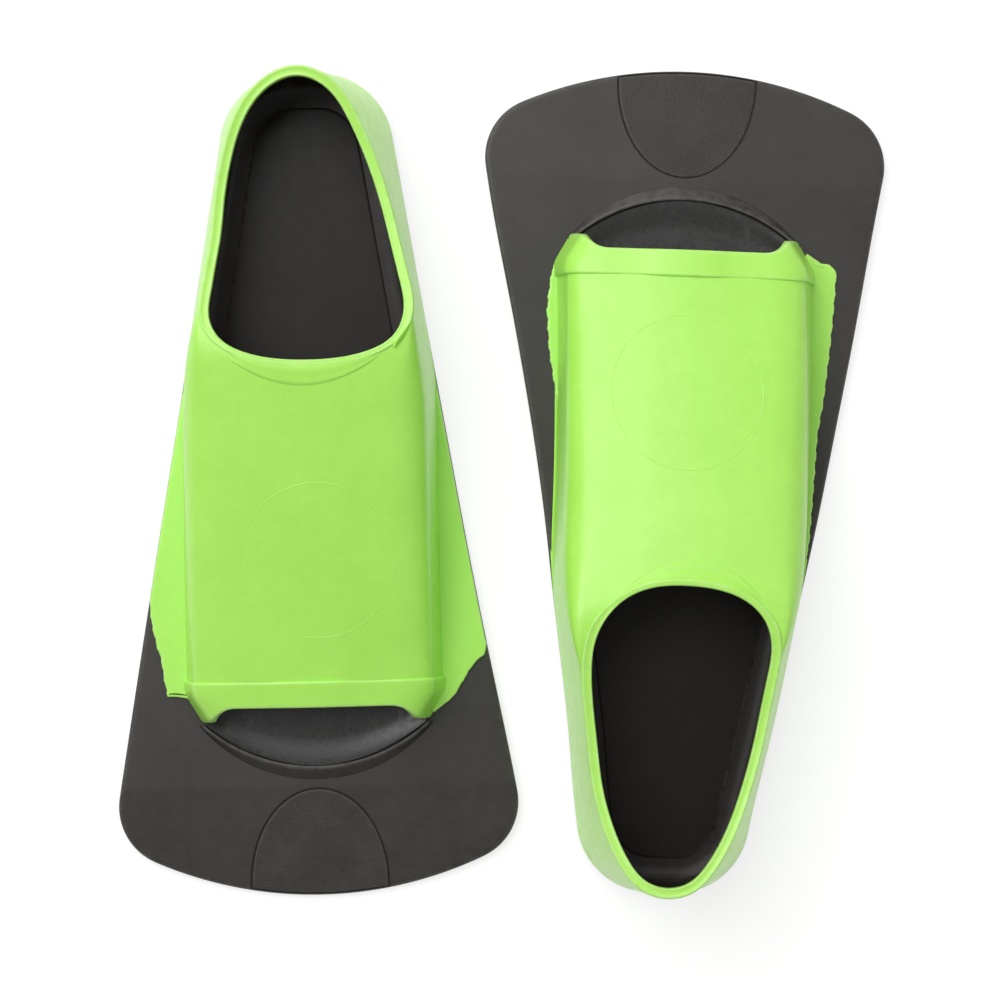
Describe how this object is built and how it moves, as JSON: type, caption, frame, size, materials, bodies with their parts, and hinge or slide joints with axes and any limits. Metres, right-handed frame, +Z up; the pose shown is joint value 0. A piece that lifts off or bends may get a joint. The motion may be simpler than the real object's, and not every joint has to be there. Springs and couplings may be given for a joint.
{
  "type": "swim fins",
  "caption": "Pair of short rubber swim fins with closed-heel foot pockets, open toe windows and flared black blades, lying flat side by side.",
  "frame": {"origin": "bottom centre of the pair's bounding box, on the surface that the fins lie on", "axes": "+Z up, +Y along the fins towards the left fin's heel, +X towards the right fin"},
  "size_m": [0.3308, 0.3534, 0.0677],
  "materials": {
    "black_rubber": "matt moulded black rubber with a very fine grain",
    "grained_rubber": "black rubber with a fine pebbled grain",
    "gloss_rubber": "smooth black rubber with a soft gloss",
    "inner_rubber": "dark matt rubber with glossy patches",
    "green_rubber": "matt lime green rubber with a faint satin sheen"
  },
  "bodies": {
    "left_fin": {"left_sole": "black_rubber", "left_toe_rim": "black_rubber", "left_toe_bed": "gloss_rubber", "left_footbed": "inner_rubber", "left_lining": "inner_rubber", "left_foot_pocket": "green_rubber", "left_collar": "green_rubber", "left_instep_crescent": "green_rubber", "left_toe_band": "green_rubber", "left_outer_flange": "green_rubber", "left_inner_flange": "green_rubber"},
    "left_blade": {"left_blade": "black_rubber", "left_tip_panel": "grained_rubber"},
    "right_fin": {"right_sole": "black_rubber", "right_toe_rim": "black_rubber", "right_toe_bed": "gloss_rubber", "right_footbed": "inner_rubber", "right_lining": "inner_rubber", "right_foot_pocket": "green_rubber", "right_collar": "green_rubber", "right_instep_crescent": "green_rubber", "right_toe_band": "green_rubber", "right_outer_flange": "green_rubber", "right_inner_flange": "green_rubber"},
    "right_blade": {"right_blade": "black_rubber", "right_tip_panel": "grained_rubber"}
  },
  "joints": [
    {"name": "left_blade_flex", "type": "hinge", "parent": "left_fin", "child": "left_blade", "pos_m": [-0.07989, -0.12964, 0.003], "axis": [-0.9998, -0.0209, 0], "range_deg": [-25, 25], "stiffness_Nm_per_rad": 1},
    {"name": "right_fin_lift", "type": "slide", "parent": "left_fin", "child": "right_fin", "axis": [0, 0, 1], "range_m": [0, 0.15]},
    {"name": "right_blade_flex", "type": "hinge", "parent": "right_fin", "child": "right_blade", "pos_m": [0.07946, 0.12959, 0.003], "axis": [0.9994, -0.0349, 0], "range_deg": [-25, 25], "stiffness_Nm_per_rad": 1}
  ]
}
